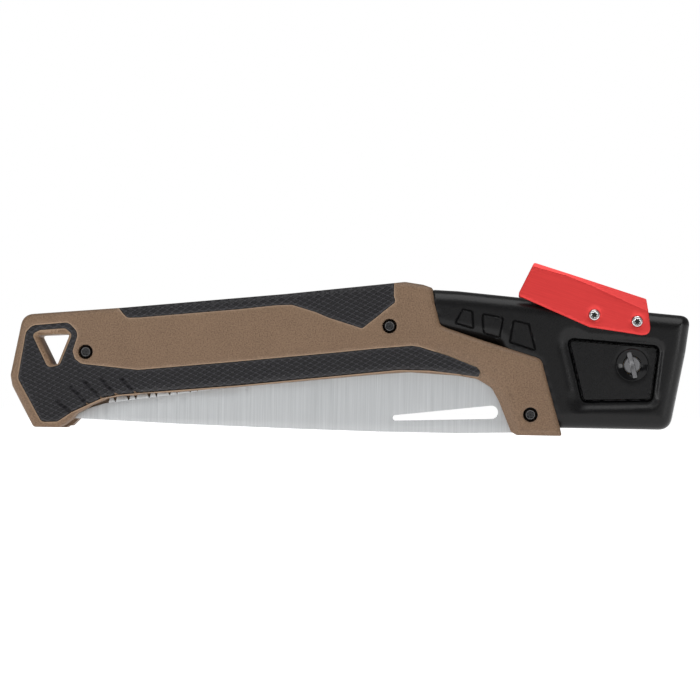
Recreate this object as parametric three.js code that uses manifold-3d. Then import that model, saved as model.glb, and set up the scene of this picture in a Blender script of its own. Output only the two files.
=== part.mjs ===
// Folding pruning saw, folded and standing on its lower edge. Millimetres, +Z up, +X towards the pivot head,
// the front side faces -Y. The outline lists hold [x, z, corner radius] of the side view.
import * as THREE from "three";
import { mergeVertices } from "three/addons/utils/BufferGeometryUtils.js";
import Module from "manifold-3d";

const wasm = await Module();
wasm.setup();

// ---------------------------------------------------------------- driving dimensions
const GAP = 0.3; // clearance between neighbouring parts
const PART_LINE = GAP / 2; // each half stops this far from the middle plane
const BLADE_HALF = 0.75; // half the blade's thickness
const SLOT_HALF = 1.6; // half the width of the slot that the blade folds into
const SHELL_OUT = 14; // handle shell, outer face
const GRIP_OUT = 14.3; // rubber, outer face
const GRIP_FLOOR = 12; // bottom of the recess that the rubber sits in
const POCKET_FLOOR = 10; // inner hollow of the shells
const HEAD_OUT = 11.5; // head housing, outer face
const TONGUE_OUT = 9; // head housing where the shells cover it
const LEVER_IN = 11.8;
const LEVER_OUT = 13.6;
const EDGE_ROUND = 3; // rounding of the shells' outer edges

const PIVOT = [140.9, 35.8];
const TANG_R = 19.3;
const BUTT_SCREW = [-131.5, 38];
const MIDDLE_SCREW = [20.3, 53.2];
const NOSE_SCREW = [90.9, 10.3];
const LEVER_PIVOT = [121.8, 60.3];
const LOCK_PIN = [143, 57.4];
const OPEN_STOP = [162.6, 58];
const CLOSED_STOP = [97.2, 50.4];
const STOP_R = 1.9;
const SPRING_X = 98.4;
const SPRING_Z = [60.5, 81];
const SCREW_RECESS_R = 3.65;
const BAR_TILT = 14.8; // degrees the pivot's bar leans from upright

const TOOTH = { first: -121.2, line: 12.7, rise: 0.144, pair: 10.35, narrow: 3.65, depth: 4.6, pairs: 19 };

// ---------------------------------------------------------------- side-view outlines
const BUTT = [[-163.6, 56.2, 7], [-169.5, 25.7, 6], [-168.4, 20.4, 4], [-157.4, 0, 2.5]];
const FRONT_TOE = [
  [-144.8, 0, 2], [-141.5, 1.7, 1], [-138, 4.5, 2], [-136.2, 6.9, 1], [-130.5, 10.2, 2], [-128.8, 11.4, 1],
  [-122.5, 14, 2], [-121, 15, 1], [-113.5, 16.4, 1], [-106.5, 16.6, 2], [-104.5, 17.6, 1], [-85, 18.7, 20],
];
// The back shell reaches further out at its toe, so that it stands behind the teeth.
const BACK_TOE = [
  [-142.6, 0, 1], [-141.6, 0.9, 0.5], [-139.9, 0.9, 0.5], [-136.8, 4.1, 2], [-127, 10.8, 8], [-115, 12.6, 8],
  [-104.5, 14.3, 10], [-85, 17.2, 20], [-60, 20.8, 20],
];
const SHANK = [
  [-24, 25.1, 20], [14.5, 29.2, 20], [30, 30.5, 12], [54.3, 29.2, 12], [64, 27.7, 6], [71.5, 23.4, 6],
  [75.2, 16.7, 4], [81.5, 1.5, 2], [84.5, 0, 1], [106.8, 0, 1.2], [105.9, 3.3, 4], [100, 23.8, 20], [96, 38.2, 5],
  [66.6, 46.9, 10], [50, 52.3, 6], [45.6, 54, 3], [42.3, 65.8, 8], [41.2, 72.6, 1], [36.7, 74.1, 2],
  [27.6, 75.4, 8], [-32.2, 68.5, 20], [-115, 60.3, 20],
];
const SHELL = [...BUTT, ...FRONT_TOE, ...SHANK];
const BACK_SHELL = [...BUTT, ...BACK_TOE, ...SHANK];
const UPPER_GRIP = [
  [-115.4, 66, 0], [-115.3, 60.4, 1], [-111, 55.3, 3], [-105, 55.5, 3], [-55, 60.4, 12], [-36, 62.7, 5],
  [-28.5, 63, 3], [-16.5, 59.5, 5], [-10.5, 57, 5], [2.7, 53, 5], [6.7, 51.7, 2], [23.3, 65.3, 2], [22.3, 68, 2],
  [22.3, 80, 0],
];
const LOWER_GRIP = [
  [-158.5, 50.8, 5], [-161.6, 47.5, 3], [-165.3, 24.2, 5], [-153, 2.6, 3], [-145, 2.9, 2], [-138, 7.7, 2],
  [-129.6, 11.8, 3], [-122.8, 15, 3], [-114.4, 16.8, 3], [-105.5, 17.7, 3], [-55, 22.4, 15], [25, 31.4, 12],
  [40.3, 31.4, 8], [55.6, 29.8, 6], [65.2, 28.6, 1.5], [65.6, 31.6, 1.5], [63.8, 33.4, 1.5], [49.8, 38.8, 6],
  [35.5, 43.1, 4], [31.5, 43.6, 2], [14.7, 42, 6], [-10, 39.2, 6], [-55, 34.4, 15], [-105, 29.4, 8], [-133.5, 32, 5],
  [-136.8, 34.5, 2], [-138, 38.2, 3], [-135.2, 47.5, 5], [-140.4, 52.6, 4],
];
const LANYARD_RIM = [
  [-158.6, 46.4, 2.5], [-150.2, 29.6, 3], [-144.4, 31.4, 2.5], [-138.4, 46.6, 2.5], [-141.9, 49.6, 2.5], [-154.6, 48.5, 2],
];
const LANYARD_HOLE = [[-156.7, 46.1, 1.2], [-149, 31.2, 1.6], [-145.8, 31.5, 1.4], [-139.8, 47, 1.2]];
const HEAD = [
  [-18, 40, 3], [74, 45, 2], [79, 28, 3], [86, 4, 1.5], [160.2, 3.9, 7], [167.4, 42.4, 20],
  [169.9, 60.5, 5], [148.9, 62.2, 10], [84.2, 68.7, 12], [54, 71.4, 6], [42, 72, 2], [36, 68.5, 2],
  [-18, 60.5, 3],
];
const TRAPEZOIDS = [
  [[56.4, 62.3], [52.8, 55.2], [62, 52.6], [61.3, 61.2]],
  [[66.4, 60], [67, 50.4], [75, 48.1], [76.7, 58.2]],
  [[81.8, 57], [80.1, 46.1], [93, 42.1], [89.6, 55.2]],
];
const RECESS = [[107, 50.4, 4], [115, 15.2, 4], [151.4, 17, 4], [155.4, 47, 4]];
const PAD = [[109.6, 47.6, 2], [117.2, 17.9, 2], [150.3, 18.9, 2], [153.3, 44.5, 2]];
const LEVER_SIDE = [
  [91.6, 86, 1], [83.6, 69.4, 2], [119.4, 54.2, 4], [150.3, 49.8, 4.5], [147.6, 68.7, 1],
];
const LEVER_HOLLOW = [[92.6, 83.6], [70, 81], [70, 40], [160, 40], [160, 62.6]];
const BLADE_BODY = [
  [-143.4, 4.9], [-84.5, 2.7], [-24, 1.2], [15, 0.5], [55, 0.4], [83.5, 1.2], [105.3, 8.8], [119, 15.8],
  [140.9, 27], [140.9, 46], [128, 50.1], [110, 49.4], [97, 48], [78, 44.6],
];
const SLOT = [
  [-147.5, -5], [-147.5, 9.5], [-131, 17.4], [76, 47.2], [97, 49.4], [112, 51], [126.5, 50.6], [140.9, 40],
  [154, 52.3], [185, 68.2], [185, -5],
];
const THUMB_SLOT = { left: [23.5, 7.6], leftR: 1.35, right: [71.5, 11.2], rightR: 3.3 };
const POCKET = [[-117, 21.5], [-32, 30], [-32, 63], [-117, 55]];

// ---------------------------------------------------------------- shape helpers
// The corner list as a closed line of points, anticlockwise, each corner rounded by its radius.
function roundedOutline(corners) {
  const points = [];
  corners.forEach(([x, z, radius = 0], i) => {
    const here = new THREE.Vector2(x, z);
    const before = corners[(i + corners.length - 1) % corners.length];
    const after = corners[(i + 1) % corners.length];
    const back = new THREE.Vector2(before[0], before[1]).sub(here);
    const ahead = new THREE.Vector2(after[0], after[1]).sub(here);
    const half = Math.acos(THREE.MathUtils.clamp(back.dot(ahead) / back.length() / ahead.length(), -1, 1)) / 2;
    const reach = Math.min(radius / Math.tan(half), 0.45 * back.length(), 0.45 * ahead.length());
    if (reach < 0.1) {
      points.push(here);
      return;
    }
    const enter = here.clone().addScaledVector(back.normalize(), reach);
    const leave = here.clone().addScaledVector(ahead.normalize(), reach);
    points.push(...new THREE.QuadraticBezierCurve(enter, here, leave).getPoints(3));
  });
  return THREE.ShapeUtils.area(points) < 0 ? points.reverse() : points;
}

// A manifold-3d solid from plain lists of coordinates and of corner numbers.
function solidOf(coordinates, faces) {
  const mesh = { numProp: 3, vertProperties: new Float32Array(coordinates), triVerts: new Uint32Array(faces) };
  return new wasm.Manifold(new wasm.Mesh(mesh));
}

// A three.js geometry as a manifold-3d solid.
function solid(geometry) {
  const bare = new THREE.BufferGeometry().setAttribute("position", geometry.getAttribute("position"));
  if (geometry.index) bare.setIndex(geometry.index);
  const merged = mergeVertices(bare, 1e-3);
  const corners = merged.index.array;
  const kept = [];
  for (let i = 0; i < corners.length; i += 3) {
    const [a, b, c] = corners.slice(i, i + 3);
    if (a !== b && b !== c && c !== a) kept.push(a, b, c);
  }
  return solidOf(merged.attributes.position.array, kept);
}

// The outline drawn out across the saw from y = low to y = high; round > 0 rounds the edges at both ends.
function plate(corners, low, high, round = 0) {
  const outline = roundedOutline(corners);
  const count = outline.length;
  const inward = outline.map((point, i) => {
    const a = point.clone().sub(outline[(i + count - 1) % count]).normalize();
    const b = outline[(i + 1) % count].clone().sub(point).normalize();
    return new THREE.Vector2(-a.y - b.y, a.x + b.x).normalize();
  });
  // Each ring of the wall: its distance from the nearer end, and how far it is drawn in.
  const steps = round > 0 ? [0, 45, 90].map((turn) => THREE.MathUtils.degToRad(turn)) : [Math.PI / 2];
  const near = steps.map((turn) => [round * (1 - Math.sin(turn)), round * (1 - Math.cos(turn))]);
  near.sort((p, q) => p[0] - q[0]);
  const rings = near.map(([along, inset]) => [low + along, inset]);
  rings.push(...near.reverse().map(([along, inset]) => [high - along, inset]));
  const coordinates = rings.flatMap(([y, inset]) =>
    outline.flatMap((point, i) => [point.x + inward[i].x * inset, y, point.y + inward[i].y * inset]),
  );
  const faces = [];
  const last = (rings.length - 1) * count;
  for (const [a, b, c] of THREE.ShapeUtils.triangulateShape(outline, [])) {
    faces.push(a, b, c, last + c, last + b, last + a);
  }
  for (let ring = 0; ring < last; ring += count) {
    for (let i = 0; i < count; i++) {
      const next = (i + 1) % count;
      faces.push(ring + i, ring + count + i, ring + next);
      faces.push(ring + next, ring + count + i, ring + count + next);
    }
  }
  return solidOf(coordinates, faces);
}

// A round bar along Y; a second radius makes it a cone.
function rod([x, z], radius, low, high, farRadius = radius, segments = 24) {
  const geometry = new THREE.CylinderGeometry(farRadius, radius, high - low, segments);
  return solid(geometry.translate(x, (low + high) / 2, z));
}

// A six-lobed screwdriver recess, as a tool to subtract.
function torx([x, z], radius, low, high) {
  const points = [];
  for (let i = 0; i < 12; i++) {
    const reach = i % 2 ? 0.74 * radius : radius;
    const turn = (i * Math.PI) / 6;
    points.push([x + reach * Math.cos(turn), z + reach * Math.sin(turn)]);
  }
  return plate(points, low, high);
}

// A box given by its two corners.
function block([x0, y0, z0], [x1, y1, z1]) {
  const geometry = new THREE.BoxGeometry(x1 - x0, y1 - y0, z1 - z0);
  return solid(geometry.translate((x0 + x1) / 2, (y0 + y1) / 2, (z0 + z1) / 2));
}

// The corner list moved outwards by a distance.
function grown(corners, distance) {
  return corners.map(([x, z, radius = 0], i) => {
    const before = corners[(i + corners.length - 1) % corners.length];
    const after = corners[(i + 1) % corners.length];
    const a = new THREE.Vector2(x - before[0], z - before[1]).normalize();
    const b = new THREE.Vector2(after[0] - x, after[1] - z).normalize();
    const out = new THREE.Vector2(a.y + b.y, -a.x - b.x).normalize();
    const stretch = distance / Math.max(0.5, out.x * a.y - out.y * a.x);
    return [x + out.x * stretch, z + out.y * stretch, Math.max(0, radius + distance)];
  });
}

// The largest piece of a solid, without the splinters that a cut leaves beside it.
const mainPiece = (body) => body.decompose().sort((a, b) => b.volume() - a.volume())[0];

// The same solid on the other side of the saw.
const mirrored = (body) => body.mirror([0, 1, 0]);

const materials = {
  tan: new THREE.MeshStandardMaterial({ color: "#9a7f66", roughness: 0.6, metalness: 0 }),
  rubber: new THREE.MeshStandardMaterial({ color: "#2b2a2c", roughness: 0.85, metalness: 0 }),
  head: new THREE.MeshStandardMaterial({ color: "#232324", roughness: 0.5, metalness: 0 }),
  blade: new THREE.MeshStandardMaterial({ color: "#b4b8ba", roughness: 0.35, metalness: 1 }),
  lever: new THREE.MeshStandardMaterial({ color: "#cc2f32", roughness: 0.35, metalness: 0.7 }),
  chrome: new THREE.MeshStandardMaterial({ color: "#d8d8da", roughness: 0.12, metalness: 1 }),
  screw: new THREE.MeshStandardMaterial({ color: "#1b1b1c", roughness: 0.4, metalness: 0.6 }),
  cup: new THREE.MeshStandardMaterial({ color: "#101011", roughness: 0.12, metalness: 0.2 }),
  hub: new THREE.MeshStandardMaterial({ color: "#6d6e72", roughness: 0.35, metalness: 0.9 }),
  brass: new THREE.MeshStandardMaterial({ color: "#b5903c", roughness: 0.35, metalness: 1 }),
  steel: new THREE.MeshStandardMaterial({ color: "#8d9094", roughness: 0.3, metalness: 1 }),
};

const group = new THREE.Group();

// Adds a solid to the saw as one named node.
function add(name, body, material) {
  const made = body.getMesh();
  const geometry = new THREE.BufferGeometry();
  geometry.setAttribute("position", new THREE.BufferAttribute(new Float32Array(made.vertProperties), 3));
  geometry.setIndex(new THREE.BufferAttribute(new Uint32Array(made.triVerts), 1));
  geometry.computeVertexNormals();
  const mesh = new THREE.Mesh(geometry, materials[material]);
  mesh.name = name;
  group.add(mesh);
}

// ---------------------------------------------------------------- handle
function bladeSlot() {
  return plate(SLOT, -SLOT_HALF, SLOT_HALF).add(rod(PIVOT, TANG_R + 0.8, -SLOT_HALF, SLOT_HALF, undefined, 64));
}

function frontShell(outline, slot) {
  let body = plate(outline, -SHELL_OUT, SHELL_OUT, EDGE_ROUND);
  body = body.subtract(block([-200, -PART_LINE, -20], [200, 40, 120]));
  const grips = plate(UPPER_GRIP, -20, -GRIP_FLOOR).add(
    plate(LOWER_GRIP, -20, -GRIP_FLOOR).subtract(plate(LANYARD_RIM, -21, 0)),
  );
  body = body.subtract(grips).subtract(slot);
  body = body.subtract(plate(grown(HEAD, GAP), -TONGUE_OUT - GAP, 1));
  body = body.subtract(plate(LANYARD_HOLE, -20, 1));
  body = body.subtract(plate(POCKET, -POCKET_FLOOR, 1));
  for (const spot of [BUTT_SCREW, MIDDLE_SCREW, NOSE_SCREW]) {
    body = body.subtract(rod(spot, SCREW_RECESS_R, -20, -11.3)).subtract(rod(spot, 2.3, -12, 1));
  }
  return mainPiece(body);
}

function frontGrip(corners) {
  const skin = plate(SHELL, -GRIP_OUT, GRIP_OUT, EDGE_ROUND);
  return plate(grown(corners, -GAP), -20, -GRIP_FLOOR - GAP).intersect(skin);
}

function frontHead(slot) {
  const cover = plate(grown(SHELL, GAP), -20, -TONGUE_OUT);
  let body = plate(HEAD, -HEAD_OUT, HEAD_OUT, 2);
  body = body.subtract(block([-200, -PART_LINE, -20], [200, 40, 120])).subtract(cover).subtract(slot);
  for (const corners of TRAPEZOIDS) {
    const groove = plate(corners, -20, -HEAD_OUT + 0.5).subtract(plate(grown(corners, -0.8), -21, 0));
    body = body.subtract(groove);
  }
  body = body.subtract(plate(RECESS, -20, -10)).add(plate(PAD, -10.8, -9));
  body = body.subtract(rod(PIVOT, 8.25, -20, -7.6)).subtract(rod(PIVOT, 3.3, -20, 1));
  body = body.subtract(rod(PIVOT, 7.8, -2.6, 1)).subtract(rod(PIVOT, 4.8, -3.4, 1));
  body = body.subtract(rod(MIDDLE_SCREW, 2.3, -20, 1)).subtract(rod(NOSE_SCREW, 1.9, -20, -2.8));
  body = body.subtract(rod(LEVER_PIVOT, 2.3, -20, 1));
  body = body.subtract(block([LOCK_PIN[0] - 2.6, -20, LOCK_PIN[1] - 2.5], [LOCK_PIN[0] + 2.6, 1, 80]));
  for (const spot of [OPEN_STOP, CLOSED_STOP]) body = body.subtract(rod(spot, STOP_R + 0.2, -8.3, 1));
  const seat = new THREE.CylinderGeometry(4, 4, 20, 24).rotateX(Math.PI / 2).translate(SPRING_X, 0, SPRING_Z[0] + 9.7);
  return body.subtract(solid(seat));
}

function throughScrew(name, spot) {
  const screw = rod(spot, 3.35, -13.4, -11.6).add(rod(spot, 2, -11.8, 11.2));
  add(name + "_screw", screw.subtract(torx(spot, 1.9, -14, -12.4)), "screw");
  const nut = rod(spot, 3.35, 11.6, 13.4, 3.35, 32).subtract(torx(spot, 1.9, 12.5, 14));
  add(name + "_nut", nut.add(rod(spot, 3.0, 11.35, 11.7)), "screw");
}

function noseScrews() {
  const screw = rod(NOSE_SCREW, 3.35, -13.4, -11.6).add(rod(NOSE_SCREW, 1.6, -11.8, -3.2));
  const cut = screw.subtract(torx(NOSE_SCREW, 1.9, -14, -12.4));
  add("front_nose_screw", cut, "screw");
  add("back_nose_screw", mirrored(cut), "screw");
}

// ---------------------------------------------------------------- pivot
function bar(grow, low, high) {
  const box = new THREE.BoxGeometry(2.6 + 2 * grow, high - low, 13.7 + 2 * grow);
  box.rotateY(-THREE.MathUtils.degToRad(BAR_TILT)).translate(PIVOT[0], (low + high) / 2, PIVOT[1]);
  return solid(box);
}

function pivotParts() {
  const dish = [[4.5, -7.9], [4.5, -8.6], [7.3, -11.2], [7.95, -11.2], [7.95, -7.9], [4.5, -7.9]];
  const profile = dish.map(([radius, y]) => new THREE.Vector2(radius, y));
  let cup = solid(new THREE.LatheGeometry(profile, 48));
  if (cup.volume() < 0) cup = solid(new THREE.LatheGeometry(profile.reverse(), 48));
  cup = cup.translate([PIVOT[0], 0, PIVOT[1]]);
  add("front_pivot_cup", cup.subtract(bar(GAP, -20, -9.2)), "cup");
  add("back_pivot_cup", mirrored(cup), "cup");
  const bolt = rod(PIVOT, 4.2, -10.4, -7.9).add(bar(0, -11.2, -9.6)).add(rod(PIVOT, 3, -8, 6));
  add("pivot_bolt", bolt, "hub");
  const nut = rod(PIVOT, 4.2, 7.9, 10.8).add(rod(PIVOT, 3, 6.3, 8)).subtract(torx(PIVOT, 2.4, 9.4, 12));
  add("pivot_nut", nut, "hub");
  const bushing = rod(PIVOT, 4.5, -3, 3).subtract(rod(PIVOT, 3.1, -4, 4));
  add("pivot_bushing", bushing, "brass");
  const washer = rod(PIVOT, 7.5, -2.3, -1).subtract(rod(PIVOT, 4.8, -4, 4));
  add("front_pivot_washer", washer, "brass");
  add("back_pivot_washer", mirrored(washer), "brass");
}

// ---------------------------------------------------------------- blade
function toothEdge() {
  const points = [];
  for (let i = TOOTH.pairs - 1; i >= 0; i--) {
    const x = TOOTH.first + i * TOOTH.pair;
    const root = (at) => TOOTH.line + (at - TOOTH.first) * TOOTH.rise;
    const wide = x + TOOTH.narrow;
    const middle = (wide + x + TOOTH.pair) / 2;
    points.push([middle + 1.3, root(middle) + TOOTH.depth], [middle - 1.3, root(middle) + TOOTH.depth]);
    points.push([wide, root(wide)]);
    points.push([x + TOOTH.narrow / 2, root(x) + TOOTH.depth], [x, root(x)]);
  }
  return points;
}

function sawBlade() {
  const tip = [[-126.6, 12.6], [-142.2, 6.6]];
  let body = plate([...BLADE_BODY, ...toothEdge(), ...tip], -BLADE_HALF, BLADE_HALF);
  body = body.add(rod(PIVOT, TANG_R, -BLADE_HALF, BLADE_HALF, undefined, 64));
  const { left, leftR, right, rightR } = THUMB_SLOT;
  const slot = [
    [left[0], left[1] + leftR], [left[0] - leftR, left[1]], [left[0], left[1] - leftR], [right[0], right[1] - rightR],
  ];
  body = body.subtract(plate([...slot, [right[0], right[1] + rightR]], -5, 5));
  body = body.subtract(rod(right, rightR, -5, 5)).subtract(rod(PIVOT, 4.6, -5, 5, undefined, 48));
  // The notch that the lock pin drops into once the blade has swung right round.
  const notch = new THREE.BoxGeometry(4.8, 10, 4.4).translate(0, 0, -TANG_R - 0.6);
  notch.rotateY(THREE.MathUtils.degToRad(-5.6)).translate(PIVOT[0], 0, PIVOT[1]);
  return body.subtract(solid(notch));
}

// ---------------------------------------------------------------- lever
function lockLever() {
  let body = plate(LEVER_SIDE, -LEVER_OUT, LEVER_OUT, 1.2);
  body = body.subtract(plate(LEVER_HOLLOW, -LEVER_IN, LEVER_IN));
  for (const spot of [LEVER_PIVOT, LOCK_PIN]) body = body.subtract(rod(spot, 2.9, -20, 20));
  return body;
}

function crossPin(name, spot) {
  const barrel = rod(spot, 2.6, -14, -11.9).add(rod(spot, 2, -12, 11.6)).subtract(rod(spot, 1.1, -6, 12));
  add(name, barrel.subtract(torx(spot, 1.5, -15, -12.9)), "chrome");
  const screw = rod(spot, 2.6, 11.9, 14).add(rod(spot, 0.8, -4, 12));
  add(name + "_screw", screw.subtract(torx(spot, 1.5, 12.9, 15)), "chrome");
}

// The wire's middle line: the turns crowd together at both ends.
class Coil extends THREE.Curve {
  getPoint(t) {
    const turn = t * 7 * 2 * Math.PI;
    const eased = t - Math.sin(2 * Math.PI * t) * 0.08;
    const z = SPRING_Z[0] + 0.5 + (SPRING_Z[1] - SPRING_Z[0] - 1) * eased;
    return new THREE.Vector3(SPRING_X + 3 * Math.cos(turn), 3 * Math.sin(turn), z);
  }
}

function leverSpring() {
  const wire = new THREE.Shape().absarc(0, 0, 0.45, 0, 2 * Math.PI);
  return solid(new THREE.ExtrudeGeometry(wire, { extrudePath: new Coil(), steps: 98, curveSegments: 3 }));
}

// ---------------------------------------------------------------- assembly
const slot = bladeSlot();
add("front_shell", frontShell(SHELL, slot), "tan");
add("back_shell", mirrored(frontShell(BACK_SHELL, slot)), "tan");
const upper = frontGrip(UPPER_GRIP);
add("front_upper_grip", upper, "rubber");
add("back_upper_grip", mirrored(upper), "rubber");
const lower = frontGrip(LOWER_GRIP).subtract(plate(grown(LANYARD_RIM, GAP), -20, 0));
add("front_lower_grip", lower, "rubber");
add("back_lower_grip", mirrored(lower), "rubber");
const head = frontHead(slot);
add("front_head_housing", head, "head");
add("back_head_housing", mirrored(head), "head");
throughScrew("butt", BUTT_SCREW);
throughScrew("middle", MIDDLE_SCREW);
noseScrews();
pivotParts();
add("open_stop_pin", rod(OPEN_STOP, STOP_R, -8, 8), "steel");
add("closed_stop_pin", rod(CLOSED_STOP, STOP_R, -8, 8), "steel");
add("lever_spring", leverSpring(), "steel");
add("saw_blade", sawBlade(), "blade");
add("lock_lever", lockLever(), "lever");
crossPin("lever_pivot_pin", LEVER_PIVOT);
crossPin("lock_pin", LOCK_PIN);

export default group;
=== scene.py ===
"""Folding pruning saw: the look of each piece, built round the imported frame.

Shapes are worked out in millimetres."""

import math

import bpy
import numpy as np
from mathutils import Matrix, Vector
from mathutils.geometry import delaunay_2d_cdt


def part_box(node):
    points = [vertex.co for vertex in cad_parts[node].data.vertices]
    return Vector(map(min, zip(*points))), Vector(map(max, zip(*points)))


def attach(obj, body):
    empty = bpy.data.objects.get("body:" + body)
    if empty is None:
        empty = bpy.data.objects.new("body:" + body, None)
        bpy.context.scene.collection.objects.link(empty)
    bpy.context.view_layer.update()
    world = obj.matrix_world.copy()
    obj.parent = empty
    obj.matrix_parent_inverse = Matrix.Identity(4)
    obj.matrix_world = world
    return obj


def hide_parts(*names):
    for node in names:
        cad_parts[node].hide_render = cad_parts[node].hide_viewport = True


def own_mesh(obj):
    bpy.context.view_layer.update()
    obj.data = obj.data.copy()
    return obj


MM = 0.001
# Points nearer than this are one point.
WELD = 1e-6

# -------- outlines in the side view
# Each corner is its x, its z and its radius; lines and centres are x and z.
BUTT = [(-163.6, 56.2, 7), (-169.46, 25.7, 6), (-168.4, 20.4, 4), (-157.4, 0, 2.5)]
FRONT_TOE = [
    (-144.8, 0, 2), (-141.5, 1.7, 1), (-138, 4.5, 2), (-136.2, 6.9, 1), (-130.5, 10.2, 2), (-128.8, 11.4, 1),
    (-122.5, 14, 2), (-121, 15, 1), (-113.5, 16.4, 1), (-106.5, 16.6, 2), (-104.5, 17.6, 1), (-85, 18.7, 20),
]
BACK_TOE = [
    (-142.6, 0, 1), (-141.6, 0.9, 0.5), (-139.9, 0.9, 0.5), (-136.8, 4.1, 2), (-127, 10.8, 8),
    (-115, 12.6, 8), (-104.5, 14.3, 10), (-85, 17.2, 20), (-60, 20.8, 20),
]
SHANK = [
    (-24, 25.1, 20), (14.5, 29.2, 20), (30, 30.5, 12), (54.3, 29.2, 12), (64, 27.7, 6), (71.5, 23.4, 6),
    (75.2, 16.7, 4), (81.5, 1.5, 2), (84.5, 0, 1), (106.8, 0, 1.2), (105.9, 3.3, 4), (100, 23.8, 20),
    (96, 38.2, 5), (66.6, 46.9, 10), (50, 52.3, 6), (45.6, 54, 3), (42.3, 65.8, 8), (41.2, 72.6, 1),
    (36.7, 74.1, 2), (27.6, 75.4, 8), (-32.2, 68.5, 20), (-115, 60.3, 20),
]
SHELL = [*BUTT, *FRONT_TOE, *SHANK]
BACK_SHELL = [*BUTT, *BACK_TOE, *SHANK]
UPPER_GRIP = [
    (-115.5, 60.2, 0), (-111, 55.3, 3), (-105, 55.5, 3), (-55, 60.4, 12), (-36, 62.7, 5), (-28.5, 63, 3),
    (-16.5, 59.5, 5), (-10.5, 57, 5), (2.7, 53, 5), (6.7, 51.7, 2), (23.3, 65.3, 2), (22.3, 68, 2),
    (22.3, 74.75, 0), (-32.2, 68.45, 20),
]
LOWER_GRIP = [
    (-158.5, 50.8, 5), (-161.6, 47.5, 3), (-165.3, 24.2, 5), (-153, 2.6, 3), (-145, 2.9, 2), (-138, 7.7, 2),
    (-129.6, 11.8, 3), (-122.8, 15, 3), (-114.4, 16.8, 3), (-105.5, 17.7, 3), (-55, 22.4, 15), (25, 31.4, 12),
    (40.3, 31.4, 8), (55.6, 29.8, 6), (65.2, 28.6, 1.5), (65.6, 31.6, 1.5), (63.8, 33.4, 1.5),
    (49.8, 38.8, 6), (35.5, 43.1, 4), (31.5, 43.6, 2), (14.7, 42, 6), (-10, 39.2, 6), (-55, 34.4, 15),
    (-105, 29.4, 8), (-133.5, 32, 5), (-136.8, 34.5, 2), (-138, 38.2, 3), (-135.2, 47.5, 5),
    (-140.4, 52.6, 4),
]
LANYARD_RIM = [
    (-158.6, 46.4, 2.5), (-150.2, 29.6, 3), (-144.4, 31.4, 2.5), (-138.4, 46.6, 2.5), (-141.9, 49.6, 2.5),
    (-154.6, 48.5, 2),
]
LANYARD_HOLE = [(-156.7, 46.1, 1.2), (-149, 31.2, 1.6), (-145.8, 31.5, 1.4), (-139.8, 47, 1.2)]
HEAD = [
    (74, 45, 2), (79, 28, 3), (86, 4, 1.5), (160.2, 3.9, 7), (167.4, 42.4, 20),
    (169.75, 60.5, 5), (148.9, 62.2, 10), (84.2, 68.7, 12), (54, 71.4, 6), (42, 71.9, 1.5), (36, 68.5, 2),
    (36, 52, 2),
]
TRAPEZOIDS = [
    [(56.4, 62.3, 1), (52.8, 55.2, 1), (62, 52.6, 1), (61.3, 61.2, 1)],
    [(66.4, 60, 1), (67, 50.4, 1), (75, 48.1, 1), (76.7, 58.2, 1)],
    [(81.8, 57, 1), (80.1, 46.1, 1), (93, 42.1, 1), (89.6, 55.2, 1)],
]
PAD = [(109.6, 47.6, 2.2), (117.2, 17.9, 2.2), (150.3, 18.9, 2.2), (153.3, 44.5, 2.2)]
LEVER = [
    (91.6, 85.9, 1.2), (83.6, 69.4, 2), (119.4, 54.2, 4), (150.2, 49.9, 4.5), (147.5, 68.7, 1.2),
]
LEVER_CREASE = [(88, 84.8), (107.9, 79.4), (115.6, 76.5), (122.4, 73.7), (152, 60.6)]
BLADE = [
    (-143.4, 4.9), (-84.5, 2.7), (-24, 1.2), (15, 0.55), (55, 0.45), (83.5, 1.2), (105.3, 8.8), (119, 15.8),
]
NOSE_EDGE = [(58, 28.9), (64, 27.7), (71.5, 23.4), (75.2, 16.7), (81.5, 1.5), (82.5, -1)]
NOSE_CREASE = [(46, 46), (69, 38), (78, 33.5), (82, 26), (90, 2)]
FINGER_GROOVES = [
    ((-113, 24.7), (-105.4, 17.2)), ((-123, 24.2), (-115.4, 16.6)), ((-132.1, 23.6), (-122.6, 14.4)),
    ((-139, 20.8), (-129.4, 11.1)), ((-145.3, 13.1), (-137.6, 7.2)),
]

PIVOT = (140.9, 35.8)
SCREWS = [(-131.5, 38), (20.3, 53.2), (90.9, 10.3)]
LEVER_PINS = [(121.8, 60.3), (143, 57.4)]
# How far the outer faces stand from the middle plane.
SHELL_OUT = 13.95
GRIP_OUT = 14.25
GRIP_FLOOR = 12.2
HEAD_OUT = 11.45
LEVER_OUT = 13.55
LEVER_BEVEL = 0.72
BLADE_HALF = 0.75
TOOTH_HALF = 0.74
ROOT_HALF = 0.69
# The grips' raised net: the slope, the centre, and the width and height of a diamond.
NET_SLOPE = math.radians(5.9)
NET_CENTRE = (-60.0, 30.0)
DIAMOND = (4.6, 2.5)
NET_HEIGHT = 0.45
GRIP_RINGS = (0.15, 0.4, 0.75)
# The teeth: x and z of the first root, the root line's rise, how many pairs, and a pair's and a tooth's size.
TOOTH = {
    "first": -121.2, "line": 12.7, "rise": 0.144, "pairs": 19, "pair": 10.35, "narrow": 3.65, "depth": 4.6,
}
# The centre and radius of the thumb slot's small end, then of its big end.
THUMB_SLOT = ((23.5, 7.6), 1.35, (71.5, 11.2), 3.3)


# -------- flat geometry
def anticlockwise(loop):
    """The closed loop, turned over if it runs clockwise."""
    ahead = np.roll(loop, -1, 0)
    area = (loop[:, 0] * ahead[:, 1] - ahead[:, 0] * loop[:, 1]).sum()
    return loop[::-1] if area < 0 else loop


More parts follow.
